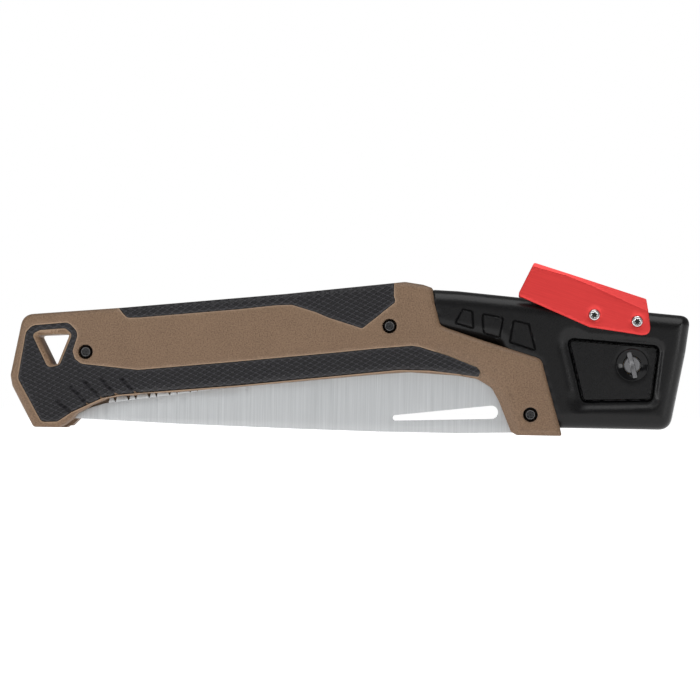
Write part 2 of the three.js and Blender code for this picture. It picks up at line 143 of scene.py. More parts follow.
def rounded(corners, step=1.5):
    """The corners as an anticlockwise line of points no further apart than step, with each corner rounded."""
    points = np.array([corner[:2] for corner in corners], float)
    out = []
    for i, here in enumerate(points):
        back = points[i - 1] - here
        ahead = points[(i + 1) % len(points)] - here
        lb, la = np.linalg.norm(back), np.linalg.norm(ahead)
        half = math.acos(max(-1, min(1, back @ ahead / lb / la))) / 2
        reach = min(corners[i][2] / math.tan(half), 0.47 * lb, 0.47 * la)
        if reach < 0.05:
            out.append(here)
            continue
        enter, leave = here + back / lb * reach, here + ahead / la * reach
        for t in np.linspace(0, 1, 9):
            out.append((1 - t) ** 2 * enter + 2 * t * (1 - t) * here + t * t * leave)
    return resampled(anticlockwise(np.array(out)), step)


def resampled(line, step, closed=True):
    """The line with points added so that none are further apart than step."""
    ends = np.roll(line, -1, 0) if closed else line[1:]
    out = []
    for a, b in zip(line, ends):
        length = np.linalg.norm(b - a)
        if length < 0.02:
            continue
        count = max(1, math.ceil(length / step))
        out.extend(a + (b - a) * k / count for k in range(count))
    if not closed:
        out.append(line[-1])
    return np.array(out)


def distance(points, line, closed=True):
    """How far each point is from the line."""
    a = np.asarray(line, float)
    b = np.roll(a, -1, 0)
    if not closed:
        a, b = a[:-1], b[:-1]
    best = np.full(len(points), 1e9)
    for p, q in zip(a, b):
        d = q - p
        t = np.clip(((points - p) @ d) / max(d @ d, 1e-12), 0, 1)
        best = np.minimum(best, np.hypot(*(points - p - t[:, None] * d).T))
    return best


def inside(points, loop):
    """Which points lie inside the closed loop."""
    x, z = points[:, 0], points[:, 1]
    hit = np.zeros(len(points), bool)
    for (x0, z0), (x1, z1) in zip(loop, np.roll(loop, -1, 0)):
        crosses = (z0 > z) != (z1 > z)
        if crosses.any():
            hit ^= crosses & (x < (x1 - x0) * (z - z0) / (z1 - z0 + 1e-15) + x0)
    return hit


def above(points, line):
    """Height of each point above an open line that runs from left to right."""
    line = np.asarray(line, float)
    return points[:, 1] - np.interp(points[:, 0], line[:, 0], line[:, 1])


def offset(loop, by):
    """The loop's points moved to its inner side; a negative distance moves them out."""
    edge = np.roll(loop, -1, 0) - loop
    edge /= np.linalg.norm(edge, axis=1)[:, None] + 1e-12
    both = edge + np.roll(edge, 1, 0)
    both /= np.linalg.norm(both, axis=1)[:, None] + 1e-12
    return loop + np.stack([-both[:, 1], both[:, 0]], 1) * by


def within(points, outline, holes):
    """Which points lie inside the outline and outside its holes."""
    return inside(points, outline) & ~np.any([inside(points, hole) for hole in holes], 0)


def away_from(centre, points):
    """How far each point is from the centre."""
    return np.hypot(points[:, 0] - centre[0], points[:, 1] - centre[1])


def circle(centre, radius, count=64):
    """A circle's points, anticlockwise."""
    turn = np.linspace(0, 2 * math.pi, count, endpoint=False)
    return np.stack([centre[0] + radius * np.cos(turn), centre[1] + radius * np.sin(turn)], 1)


def lattice(loop, spacing):
    """A staggered grid of points over the loop's box."""
    lo, hi = loop.min(0), loop.max(0)
    xs = np.arange(lo[0], hi[0], spacing)
    zs = np.arange(lo[1], hi[1], spacing * 0.87)
    grid = np.stack(np.meshgrid(xs, zs), -1)
    grid[1::2, :, 0] += spacing / 2
    return grid.reshape(-1, 2)


def edge_drop(d, radius):
    """How far a face falls at distance d from an edge that is rounded to that radius."""
    t = np.clip(radius - d, 0, radius)
    return radius - np.sqrt(np.maximum(radius * radius - t * t, 0))


def smooth(t):
    """An even ramp from 0 to 1 without corners."""
    t = np.clip(t, 0, 1)
    return t * t * (3 - 2 * t)


# -------- meshes
def link(name, verts, faces, sharp=32):
    """A mesh object from millimetre points, smooth but for edges sharper than the angle."""
    mesh = bpy.data.meshes.new(name)
    mesh.from_pydata([(x * MM, y * MM, z * MM) for x, y, z in verts], [], [tuple(map(int, f)) for f in faces])
    mesh.validate()
    mesh.shade_smooth()
    mesh.set_sharp_from_angle(angle=math.radians(sharp))
    obj = bpy.data.objects.new(name, mesh)
    bpy.context.scene.collection.objects.link(obj)
    return obj


def triangles(points, loops):
    """Triangles over the points that keep the loops' edges."""
    edges = []
    at = 0
    for loop in loops:
        edges += [(at + i, at + (i + 1) % len(loop)) for i in range(len(loop))]
        at += len(loop)
    co, _, faces, *_ = delaunay_2d_cdt([Vector(p) for p in points], edges, [], 0, WELD)
    return np.array([list(c) for c in co]), np.array(faces)


def inner_points(bounds, steps, rings, spacing, extra):
    """Points inside the first bound: a lattice, and rows beside every bound and step."""
    outline, *holes = bounds
    loose = [lattice(outline, spacing)]
    loose += [offset(loop, r) for loop in bounds for r in rings]
    loose += [offset(loop, r) for loop in steps for r in (0.3, -0.3, -0.6)]
    if extra is not None:
        loose.append(extra)
    loose = np.concatenate(loose)
    near = np.min([distance(loose, loop) for loop in [*bounds, *steps]], 0)
    loose = loose[within(loose, outline, holes) & (near > 0.12)]
    cells = np.round(loose / 0.2).astype(int)
    return loose[np.unique(cells, axis=0, return_index=True)[1]]


def flat_skin(bounds, loops, loose):
    """Triangles between the first bound and the others, all turned the same way."""
    co, faces = triangles(np.concatenate([*bounds, *loops, loose]), [*bounds, *loops])
    faces = faces[within(co[faces].mean(1), bounds[0], bounds[1:])]
    a, b, c = (co[faces[:, k]] for k in range(3))
    turned = (b[:, 0] - a[:, 0]) * (c[:, 1] - a[:, 1]) - (b[:, 1] - a[:, 1]) * (c[:, 0] - a[:, 0]) < 0
    faces[turned] = faces[turned][:, ::-1]
    used, faces = np.unique(faces, return_inverse=True)
    return co[used], faces.reshape(-1, 3)


def open_edges(faces):
    """The edges of the skin that only one of its triangles has."""
    pairs = np.concatenate([faces[:, [0, 1]], faces[:, [1, 2]], faces[:, [2, 0]]])
    known = {tuple(p) for p in pairs}
    return [p for p in known if (p[1], p[0]) not in known]


def inner_face(bounds, points, ring, first):
    """The flat face that closes the back: its corners are points, numbered from first."""
    _, _, inner, origin, _, _ = delaunay_2d_cdt([Vector(p) for p in points], ring, [], 0, WELD)
    caps = []
    for face in inner:
        ids = [origin[k][0] for k in face]
        corners = points[ids]
        if not within(corners.mean(0)[None], bounds[0], bounds[1:])[0]:
            continue
        (ax, az), (bx, bz) = corners[1] - corners[0], corners[2] - corners[0]
        ids = [first + k for k in ids]
        caps.append(tuple(ids[::-1] if ax * bz - az * bx > 0 else ids))
    return caps


def relief(outline, height, floor, rings, spacing, holes=(), steps=(), extra=None):
    """A closed body whose outer face stands out to height(points, edge distance) and whose inner face is at
    floor, a number or a function of the points. steps are loops across which the height jumps. Returns its
    points and faces, for the front side (-Y)."""
    bounds = [outline, *holes]
    step_loops = [offset(s, by) for s in steps for by in (0.05, -0.05)]
    co, faces = flat_skin(bounds, step_loops, inner_points(bounds, steps, rings, spacing, extra))
    out = height(co, np.min([distance(co, loop) for loop in bounds], 0))
    front = np.stack([co[:, 0], -out, co[:, 1]], 1)
    # A wall and an inner face close the open edges of the skin.
    rim = open_edges(faces)
    ids = sorted({i for pair in rim for i in pair})
    flat = co[ids]
    depth = floor(flat) if callable(floor) else np.full(len(ids), float(floor))
    back = np.stack([flat[:, 0], -np.minimum(depth, out[ids] - 0.05), flat[:, 1]], 1)
    local = {v: k for k, v in enumerate(ids)}
    walls = []
    for i, j in rim:
        below_i, below_j = len(co) + local[i], len(co) + local[j]
        walls += [(j, i, below_i), (j, below_i, below_j)]
    caps = inner_face(bounds, flat, [(local[i], local[j]) for i, j in rim], len(co))
    return np.concatenate([front, back]), [tuple(f) for f in faces] + walls + caps


def lighten(obj, lightening):
    """Writes how much each point of the mesh is coloured lighter, from 0 to 1: on the black screws a painted
    highlight ring.
    """
    lightened = obj.data.attributes.new("lightened", "FLOAT", "POINT")
    lightened.data.foreach_set("value", lightening.astype(np.float32))


def both_sides(name, body, material, node, ride, slot, lightening=None, back=None):
    """The front piece, and its mirror image or another piece at the back, for front_node and back_node.
    worn gives how much each point of the side view stands proud and is coloured lighter, from 0 to 1."""
    for side, sign in (("front", 1), ("back", -1)):
        verts, faces = body if sign > 0 or back is None else back
        verts = verts * (1, sign, 1)
        turned = faces if sign > 0 else [f[::-1] for f in faces]
        obj = link(f"{name}_{side}", verts, turned)
        if lightening:
            lighten(obj, lightening(verts[:, [0, 2]]))
        dress(obj, material, ride, slot, f"{side}_{node}")


def dress(obj, material, ride, slot, *nodes):
    """Gives a piece its material and the body it moves with, and hides the CAD nodes it stands for; slot is not
    used.
    """
    obj.data.materials.clear()
    obj.data.materials.append(material)
    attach(obj, ride)
    if nodes:
        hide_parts(*nodes)


def joined(name, bodies, sharp=32):
    """Several closed bodies as one mesh object."""
    verts, faces, at = [], [], 0
    for points, polygons in bodies:
        verts.append(np.asarray(points, float))
        faces += [tuple(i + at for i in f) for f in polygons]
        at += len(points)
    return link(name, np.concatenate(verts), faces, sharp)


def turned_points(profile, centre, segments):
    """The (radius, y) points of the profile, turned step by step about the Y axis through centre."""
    verts = []
    for k in range(segments):
        turn = 2 * math.pi * k / segments
        verts += [(centre[0] + r * math.cos(turn), y, centre[1] + r * math.sin(turn)) for r, y in profile]
    return verts


def lathe(profile, centre, segments=64):
    """A closed body turned about the Y axis through centre from (radius, y) points; the ends are on the axis."""
    ring = profile[1:-1]
    count = len(ring)
    verts = [(centre[0], y, centre[1]) for _, y in (profile[0], profile[-1])]
    verts += turned_points(ring, centre, segments)
    faces = []
    for k in range(segments):
        a, b = 2 + k * count, 2 + (k + 1) % segments * count
        faces += [(0, a, b), (1, b + count - 1, a + count - 1)]
        faces += [(a + i, a + i + 1, b + i + 1, b + i) for i in range(count - 1)]
    return np.array(verts, float), faces


def ring_lathe(profile, centre, segments=64):
    """A ring turned about the Y axis through centre from a closed (radius, y) section."""
    count = len(profile)
    faces = []
    for k in range(segments):
        a, b = k * count, (k + 1) % segments * count
        faces += [(a + i, a + (i + 1) % count, b + (i + 1) % count, b + i) for i in range(count)]
    return np.array(turned_points(profile, centre, segments), float), faces


def screw_head(centre, radius, flat, fall, outer, socket, back, ridge=0.0):
    """A screw head: a flat face of radius flat that falls away to its rim, with a deep six-lobed socket.
    ridge is the height of a fine raised ring round the flat."""
    lobes, socket_depth, socket_chamfer = 6, 1.9, 0.1
    turn = np.linspace(0, 2 * math.pi, 72, endpoint=False)
    reach = socket * (0.84 + 0.16 * np.cos(lobes * turn))
    star = np.stack([centre[0] + reach * np.cos(turn), centre[1] + reach * np.sin(turn)], 1)

    def height(p, d):
        away = away_from(centre, p)
        out = outer - fall * smooth((away - flat) / (radius - flat))
        out += ridge * smooth(1 - abs(away - flat + 0.2) / 0.28)
        out -= socket_chamfer * smooth(1 - distance(p, star) / 0.25)
        return np.where(inside(p, star), outer - socket_depth, out)

    rings = (0.15, 0.35, 0.6, 0.85, 0.98, 1.1, 1.25)
    return relief(circle(centre, radius, 72), height, back, steps=[star], rings=rings, spacing=0.5)


def faced(body, sign):
    """The body as it is, or mirrored to the back."""
    verts, faces = body
    if sign > 0:
        return verts, faces
    return verts * (1, -1, 1), [f[::-1] for f in faces]


# -------- handle pieces
def shell_height(upper, lower, rim):
    """The shell's outer face: rounded edges, a sloping nose, and sunk beds for the grips and screws."""
    edge_radius, nose_reach, nose_slope, nose_fall = 3.2, 3.9, 0.75, 0.8
    lip_round, bed_drop, recess_radius, recess_floor = 0.35, 1.4, 3.65, 10.4

    def height(p, d):
        out = SHELL_OUT - edge_drop(d, edge_radius)
        nose = distance(p, NOSE_EDGE, closed=False)
        out = np.minimum(out, SHELL_OUT - nose_slope * np.maximum(0, nose_reach - nose))
        crease = distance(p, NOSE_CREASE, closed=False)
        below = (above(p, NOSE_CREASE) < 0) & (p[:, 0] > 44)
        out -= np.where(below, nose_fall * smooth(crease / 7), 0)
        sunk = inside(p, upper) | (inside(p, lower) & ~inside(p, rim))
        lip = np.minimum(distance(p, upper), distance(p, lower))
        lip = np.where(inside(p, rim), np.minimum(lip, distance(p, rim)), lip)
        out -= lip_round * smooth(1 - lip / 0.7)
        out = np.where(sunk, np.minimum(GRIP_FLOOR, out - bed_drop), out)
        for spot in SCREWS:
            away = away_from(spot, p)
            round_off = 0.3 * smooth((4.3 - away) / 0.6)
            out = np.where(away < recess_radius, recess_floor, out - round_off)
        return out

    return height


def slot_side(p):
    """How far from the middle plane a shell's inner edge lies: the blade side leaves room for the blade."""
    line = np.interp(p[:, 0], [-147, -128, -60, 84], [4, 22, 34, 36])
    opening = (p[:, 0] > -146) & (p[:, 0] < 84) & (p[:, 1] < line)
    return np.where(opening, 1.6, 0.2)


def shell_edges(p):
    """The lips round the grips and the lanyard hole, which are coloured lighter."""
    away = [distance(p, rounded(loop)) for loop in (UPPER_GRIP, LOWER_GRIP, LANYARD_RIM, LANYARD_HOLE)]
    return smooth(1 - np.min(away, 0) / 0.8)


def shell(corners):
    """One half of the handle."""
    upper, lower, rim = rounded(UPPER_GRIP), rounded(LOWER_GRIP), rounded(LANYARD_RIM, 0.8)
    recesses = [circle(spot, 3.65, 48) for spot in SCREWS]
    return relief(
        rounded(corners),
        shell_height(upper, lower, rim),
        slot_side,
        holes=[rounded(LANYARD_HOLE, 0.8)],
        steps=[offset(upper, 0.02), lower, rim, *recesses],
        rings=(0.12, 0.35, 0.7, 1.15, 1.7, 2.4, 3.2),
        spacing=1.8,
    )


def net_axes(p):
    """The points' places along and across the grips' net."""
    cos, sin = math.cos(NET_SLOPE), math.sin(NET_SLOPE)
    x, z = p[:, 0] - NET_CENTRE[0], p[:, 1] - NET_CENTRE[1]
    return x * cos + z * sin, -x * sin + z * cos


def net(p):
    """1 on the raised lines of the diamond net and 0 between them. The lines are coloured lighter."""
    width, tall = DIAMOND
    along, across = net_axes(p)
    u, v = along / width + across / tall, along / width - across / tall
    near = np.minimum(abs(u - np.round(u)), abs(v - np.round(v)))
    return 1 - smooth((near - 0.06) / 0.12)


def diamond_cells(loop):
    """Sample points that follow the raised net of the rubber, close together along its lines."""
    width, tall = DIAMOND
    cos, sin = math.cos(NET_SLOPE), math.sin(NET_SLOPE)
    reach = max(abs(loop.min(0) - NET_CENTRE).max(), abs(loop.max(0) - NET_CENTRE).max()) + 10
    count = int(reach * (1 / width + 1 / tall)) + 2
    marks = np.array([-0.17, -0.07, 0.07, 0.17, 0.5])
    steps = (np.arange(-count, count)[:, None] + marks).ravel()
    u, v = np.meshgrid(steps, steps)
    along, across = (u + v).ravel() * width / 2, (u - v).ravel() * tall / 2
    near = (abs(along) < reach) & (abs(across) < 60)
    along, across = along[near], across[near]
    p = np.stack([along * cos - across * sin, along * sin + across * cos], 1) + NET_CENTRE
    return p[(p > loop.min(0) - 1).all(1) & (p < loop.max(0) + 1).all(1)]


def grip_face(d, fall, lines):
    """The outer face at distance d from its edge; fall is its drop at the shell's edge, lines the net."""
    raised = NET_HEIGHT * lines * smooth((d - 0.9) / 0.5)
    return GRIP_OUT - NET_HEIGHT - fall + raised - 0.45 * smooth(1 - d / 0.6)


def upper_grip():
    loop, edge = rounded(UPPER_GRIP), rounded(SHELL)

    def height(p, d):
        return grip_face(d, edge_drop(distance(p, edge), 3.3), net(p))

    def back(p):
        return np.minimum(GRIP_FLOOR + 0.1, height(p, distance(p, loop)) - 1.2)

    return relief(loop, height, back, rings=GRIP_RINGS, spacing=3, extra=diamond_cells(loop))


def lower_grip():
    """The lower grip, with its finger grooves, round the lanyard hole's rim."""
    loop, rim, edge = rounded(LOWER_GRIP), rounded(LANYARD_RIM, 0.8), rounded(SHELL)
    groove_depth, groove_half = 1.1, 1.25

    def height(p, d):
        fall = 0.85 * edge_drop(distance(p, edge) - 0.6, 3.4)
        near = np.min([distance(p, groove, closed=False) for groove in FINGER_GROOVES], 0)
        ribs = smooth(1 - near / groove_half)
        calm = 1 - smooth((ribs - 0.02) * 8)
        return grip_face(d, fall, net(p) * calm) - groove_depth * ribs

    fans = []
    for groove in FINGER_GROOVES:
        line = resampled(np.array(groove, float), 0.5, closed=False)
        run = line[-1] - line[0]
        side = np.array([-run[1], run[0]]) / np.linalg.norm(run)
        fans += [line + side * k for k in (-1.3, -0.8, -0.4, 0, 0.4, 0.8, 1.3)]
    extra = np.concatenate([diamond_cells(loop), *fans])
    hole = offset(rim, -0.15)
    return relief(loop, height, GRIP_FLOOR + 0.1, holes=[hole], rings=GRIP_RINGS, spacing=3, extra=extra)


def head():
    """The black housing: rounded edges, three grooved trapezoids and a sunk panel round a raised pad."""
    outline, pad, bore, cover = rounded(HEAD), rounded(PAD, 1), circle(PIVOT, 8.0, 72), rounded(SHELL)
    traps = [rounded(t, 1) for t in TRAPEZOIDS]
    groove_width, panel_drop, groove_drop, pad_drop, trap_drop = 1.4, 1.7, 2.2, 1.0, 0.7
    under_shell = 11.0

    def height(p, d):
        out = HEAD_OUT - edge_drop(distance(p, outline), 7.5)
        for trap in traps:
            out -= trap_drop * smooth(1 - distance(p, trap) / 0.7)
        gap = distance(p, pad)
        # The slope down to the groove is widest on the left and wide below.
        reach = 2.6 + 3 * smooth((120 - p[:, 0]) / 9) + 1.8 * smooth((24 - p[:, 1]) / 7)
        slope = panel_drop * smooth(1 - (gap - groove_width) / reach)
        groove = groove_drop * smooth((groove_width - gap) / 1.0)
        edge = pad_drop + (panel_drop + groove_drop - pad_drop) * (1 - smooth(gap / 0.3))
        out -= np.where(inside(p, pad), edge, slope + groove)
        out -= 0.2 * smooth((8.6 - away_from(PIVOT, p)) / 0.5)
        return np.where(inside(p, cover), np.minimum(out, under_shell), out)

    def floor(p):
        return np.where((p[:, 1] > 60) & (p[:, 0] < 160), 0.2, 1.7)

    rows = (0.32, 0.2, 0.08, -0.04, -0.4, -0.65, -0.9, -1.15, -1.4, -1.8, -2.3, -3, -4, -5.2, -6.5)
    marks = [offset(t, r) for t in traps for r in (-0.7, -0.35, 0, 0.35, 0.7)]
    marks += [offset(pad, r) for r in rows]
    rings = (0.12, 0.35, 0.7, 1.15, 1.7, 2.4, 3.2, 4.2, 5.3, 6.4, 7.4)
    return relief(outline, height, floor, holes=[bore], rings=rings, spacing=1.6, extra=np.concatenate(marks))


# -------- pivot, screws and pins
def pivot_cup(sign):
    """The glossy cup round the pivot, a cone that falls inwards."""
    section = [(8.0, -8.0), (8.0, -11.0), (7.75, -11.2), (7.4, -11.1), (4.4, -9.5), (4.4, -8.0)]
    return faced(ring_lathe(section[::-1], PIVOT), sign)


def pivot_hub():
    """The grey hub with a raised bar across it, leaning to the left at the top."""
    hub = lathe([(0, -10.4), (3.7, -10.4), (4.2, -9.9), (4.2, -8.0), (0, -8.0)], PIVOT)
    lean = math.radians(90 + 14.8)
    half_length, half_width, tip_round = 6.1, 1.3, 0.7
    along = np.array([math.cos(lean), math.sin(lean)])
    side = np.array([-along[1], along[0]])
    ends = []
    for sign in (1, -1):
        for k in np.linspace(-1, 1, 9):
            tip = half_length + tip_round * math.sqrt(max(0, 1 - k * k))
            ends.append(np.array(PIVOT) + sign * (along * tip - side * half_width * k))
    loop = resampled(anticlockwise(np.array(ends)), 0.5)

    def height(p, d):
        return 11.15 - edge_drop(d, 0.4) - 0.25 * smooth((1.6 - away_from(PIVOT, p)) / 0.5)

    return [hub, relief(loop, height, 9.3, rings=(0.12, 0.3, 0.5), spacing=0.6)]


def pivot_back():
    """The nut at the back of the pivot."""
    return [faced(screw_head(PIVOT, 4.2, 3.7, 0.5, 10.75, 2.3, 8.2), -1)]


# -------- blade
def root_point(x):
    """A point on the line of the teeth's roots."""
    return x, TOOTH["line"] + (x - TOOTH["first"]) * TOOTH["rise"]


def arc(centre, radius, start, end, count):
    """Points round the centre from one angle to another, in radians."""
    turns = np.linspace(start, end, count)
    return [(centre[0] + radius * math.cos(a), centre[1] + radius * math.sin(a)) for a in turns]


def thumb_slot():
    """Two half circles of unlike size, joined by their tangents."""
    (x0, z0), small, (x1, z1), big = THUMB_SLOT
    lean = math.atan2(z1 - z0, x1 - x0)
    quarter = math.pi / 2
    spread = math.asin((big - small) / math.hypot(x1 - x0, z1 - z0))
    right = arc((x1, z1), big, lean - quarter - spread, lean + quarter + spread, 21)
    left = arc((x0, z0), small, lean + quarter + spread, lean + 3 * quarter - spread, 13)
    return resampled(np.array(right + left), 2.5)


def blade_body():
    """The flat of the blade up to the roots of its teeth, with its thumb slot and round tang."""
    last = TOOTH["first"] + TOOTH["pairs"] * TOOTH["pair"]
    tang = arc(PIVOT, 19.2, math.radians(-118), math.radians(131.5), 60)
    line = [*BLADE, (131.9, 18.8), *tang, (110, 49.4), (97, 48), (78, 44.6)]
    line += [root_point(last), root_point(TOOTH["first"] - 1.5), (-142.6, 6.2)]
    loop = resampled(np.array(line, float), 2.5)

    def height(p, d):
        return BLADE_HALF - 0.02 * smooth(1 - d / 0.35)

    holes = [thumb_slot(), circle(PIVOT, 4.6, 48)]
    half = relief(loop, height, 0, holes=holes, rings=(0.15, 0.35), spacing=6)
    return [half, faced(half, -1)]


def tooth(line, skin):
    """A tooth from its side view: each corner's x, height and the y of its front and back edges."""
    count = len(line)
    verts = [(x, front, z) for x, z, front, _ in line] + [(x, back, z) for x, z, _, back in line]
    faces = skin + [tuple(i + count for i in face[::-1]) for face in skin]
    faces += [(i, (i + 1) % count, (i + 1) % count + count, i + count) for i in range(count)]
    return np.array(verts, float), faces


def even(x, z, half):
    """A tooth's corner that stands as far in front of the middle plane as behind it."""
    return x, z, -half, half


def narrow_tooth(start, end, depth):
    """One pointed tooth, its upper half ground to the tip."""
    tip = (start + end) / 2 + 0.1
    line = [
        even(start, -0.8, ROOT_HALF),
        even(start, 0, TOOTH_HALF),
        even((start + tip) / 2, depth / 2, TOOTH_HALF),
        even(tip, depth, 0.1),
        even((end + tip) / 2, depth / 2, TOOTH_HALF),
        even(end, 0, TOOTH_HALF),
        even(end, -0.8, ROOT_HALF),
    ]
    return tooth(line, [(0, 6, 5, 1), (1, 5, 4, 2), (2, 4, 3)])


def broad_tooth(start, end, depth):
    """A broad tooth with two ground points, one set to each side, and a shallow notch between them."""
    middle, out = (start + end) / 2, (end - start) * 0.27
    line = [
        even(start, -0.8, ROOT_HALF),
        even(start, 0, TOOTH_HALF),
        even((start + middle - out) / 2, depth / 2, TOOTH_HALF),
        (middle - out, depth, -0.35, -0.15),
        even(middle, depth * 0.6, 0.7),
        (middle + out, depth, 0.15, 0.35),
        even((end + middle + out) / 2, depth / 2, TOOTH_HALF),
        even(end, 0, TOOTH_HALF),
        even(end, -0.8, ROOT_HALF),
    ]
    return tooth(line, [(0, 8, 7, 1), (1, 7, 6, 2), (2, 6, 4), (2, 4, 3), (4, 6, 5)])


def tooth_pair():
    """One narrow tooth and one broad one, standing on the blade's edge at the origin."""
    depth, narrow, pair = TOOTH["depth"], TOOTH["narrow"], TOOTH["pair"]
    bodies = [narrow_tooth(0.15, narrow - 0.15, depth), broad_tooth(narrow + 0.15, pair - 0.15, depth)]
    return joined("tooth_pair", bodies, 20)


# -------- lever
def lever_side():
    """One side wall of the lever, bevelled above its crease."""
    crease = np.array(LEVER_CREASE, float)
    edge_radius, web_joint, wall, least = 0.7, 11.85, 1.6, 3.0

    def height(p, d):
        bevel = LEVER_OUT - LEVER_BEVEL * np.maximum(0, above(p, crease))
        return np.minimum(LEVER_OUT - 0.6 * edge_drop(d, edge_radius), bevel)

    def floor(p):
        return np.minimum(web_joint, height(p, np.full(len(p), least)) - wall)

    marks = resampled(crease, 1, closed=False)
    extra = np.concatenate([marks + (0, k) for k in (-0.3, -0.08, 0.08, 0.3, 1.0)])
    pins = [circle(spot, 2.75, 40) for spot in LEVER_PINS]
    rings = (0.12, 0.3, 0.6)
    return relief(rounded(LEVER, 1), height, floor, holes=pins, rings=rings, spacing=1.6, extra=extra)


def lever_web():
    """The sloping top of the lever, which narrows towards the nose."""
    (x0, z0), (x1, z1) = (92.4, 85.55), (147.1, 68.75)
    inset, slant, thick, count = 0.25, 0.6, 2.1, 13
    crease = np.array(LEVER_CREASE, float)
    verts, faces = [], []
    for t in np.linspace(0, 1, count):
        x, z = x0 + (x1 - x0) * t, z0 + (z1 - z0) * t
        rise = max(0, z - np.interp(x, crease[:, 0], crease[:, 1]))
        half = LEVER_OUT - LEVER_BEVEL * rise - inset
        verts += [(x, -half, z), (x, half, z), (x - slant, half, z - thick), (x - slant, -half, z - thick)]
    for a in range(0, 4 * (count - 1), 4):
        faces += [(a + i, a + 4 + i, a + 4 + (i + 1) % 4, a + (i + 1) % 4) for i in range(4)]
    faces += [(0, 1, 2, 3), tuple(len(verts) - 4 + i for i in (3, 2, 1, 0))]
    return np.array(verts, float), faces


# -------- node trees
KINDS = {float: "NodeSocketFloat", int: "NodeSocketInt", tuple: "NodeSocketVector"}


def add_inputs(tree, inputs):
    """Named inputs for a tree: each from its default value, or from its socket's type if it has none."""
    for label, value in inputs.items():
        kind = value if isinstance(value, str) else KINDS[type(value)]
        socket = tree.interface.new_socket(label, in_out="INPUT", socket_type=kind)
        if kind != value:
            socket.default_value = value


def fill(tree, sockets, values):
    """Gives sockets, by name or number, a number, a colour or a link."""
    for label, value in values.items():
        if isinstance(value, tuple):
            sockets[label].default_value = (*value, 1)
        elif isinstance(value, (int, float)):
            sockets[label].default_value = value
        else:
            tree.links.new(value, sockets[label])


def add_node(tree, kind, inputs=None, **settings):
    """A new node with its own settings and with values or links for its inputs."""
    new = tree.nodes.new(kind)
    for label, value in settings.items():
        setattr(new, label, value)
    fill(tree, new.inputs, inputs or {})
    return new


# -------- repeated pieces, by Geometry Nodes
def new_tree(name, **inputs):
    """A geometry tree with a geometry input, a material input and the given ones."""
    tree = bpy.data.node_groups.new(name, "GeometryNodeTree")
    add_inputs(tree, {"Geometry": "NodeSocketGeometry", "Material": "NodeSocketMaterial", **inputs})
    tree.interface.new_socket("Geometry", in_out="OUTPUT", socket_type="NodeSocketGeometry")
    return tree, add_node(tree, "NodeGroupInput").outputs


def finish_tree(tree, geometry, given):
    """Ends a tree in Realize Instances and Set Material."""
    real = add_node(tree, "GeometryNodeRealizeInstances", {0: geometry})
    inputs = {"Geometry": real.outputs[0], "Material": given["Material"]}
    paint = add_node(tree, "GeometryNodeSetMaterial", inputs)
    add_node(tree, "NodeGroupOutput", {0: paint.outputs["Geometry"]})
    return tree


def copies(tree, source, points, turn):
    """Copies of the source object at the points, turned about Y."""
    info = add_node(tree, "GeometryNodeObjectInfo", {"Object": source})
    spin = add_node(tree, "ShaderNodeCombineXYZ", {"Y": turn})
    inputs = {"Points": points, "Instance": info.outputs["Geometry"], "Rotation": spin.outputs[0]}
    return add_node(tree, "GeometryNodeInstanceOnPoints", inputs).outputs[0]


def grown(name, tree, values, points=((0, 0, 0),)):
    """Runs a tree on a few points and keeps the mesh it makes."""
    mesh = bpy.data.meshes.new(name)
    mesh.from_pydata([tuple(c * MM for c in p) for p in points], [], [])
    obj = bpy.data.objects.new(name, mesh)
    bpy.context.scene.collection.objects.link(obj)
    modifier = obj.modifiers.new("grow", "NODES")
    modifier.node_group = tree
    for item in tree.interface.items_tree:
        if item.in_out == "INPUT" and item.name in values:
            modifier[item.identifier] = values[item.name]
    bpy.context.view_layer.update()
    evaluated = obj.evaluated_get(bpy.context.evaluated_depsgraph_get())
    baked = bpy.data.meshes.new_from_object(evaluated)
    obj.modifiers.clear()
    obj.data = baked
    return obj


def scatter_tree():
    """One copy of the source at each point, turned about Y by a random angle from a fixed seed."""
    tree, given = new_tree("Scatter fasteners", Source="NodeSocketObject", Turn=1.0, Seed=4)
    chance = {3: given["Turn"], "Seed": given["Seed"]}
    turn = add_node(tree, "FunctionNodeRandomValue", chance, data_type="FLOAT")
    return finish_tree(tree, copies(tree, given["Source"], given["Geometry"], turn.outputs[1]), given)


def teeth_tree():
    """Copies of the source along a straight, rising line."""
    inputs = {"Pairs": 19, "Start": (0.0, 0.0, 0.0), "Step": (0.01, 0.0, 0.0), "Lean": 0.0}
    tree, given = new_tree("Row of teeth", Source="NodeSocketObject", **inputs)
    row = {"Count": given["Pairs"], "Start Location": given["Start"], "Offset": given["Step"]}
    line = add_node(tree, "GeometryNodeMeshLine", row)
    return finish_tree(tree, copies(tree, given["Source"], line.outputs[0], given["Lean"]), given)


def spring_tree():
    """A coil of round wire standing on its base."""
    inputs = {"Turns": 7.0, "Radius": 0.003, "Height": 0.02, "Wire": 0.00045, "Base": (0.0, 0.0, 0.0)}
    tree, given = new_tree("Coil spring", **inputs)
    size = {"Start Radius": given["Radius"], "End Radius": given["Radius"], "Height": given["Height"]}
    coil = add_node(tree, "GeometryNodeCurveSpiral", {"Resolution": 40, "Rotations": given["Turns"], **size})
    wire = add_node(tree, "GeometryNodeCurvePrimitiveCircle", {"Resolution": 10, "Radius": given["Wire"]})
    swept = {"Curve": coil.outputs[0], "Profile Curve": wire.outputs[0], "Fill Caps": True}
    sweep = add_node(tree, "GeometryNodeCurveToMesh", swept)
    stood = {"Geometry": sweep.outputs[0], "Translation": given["Base"]}
    place = add_node(tree, "GeometryNodeTransform", stood)
    return finish_tree(tree, place.outputs[0], given)


# -------- materials
def shader_group(name, inputs):
    tree = bpy.data.node_groups.new(name, "ShaderNodeTree")
    add_inputs(tree, inputs)
    return tree, add_node(tree, "NodeGroupInput").outputs


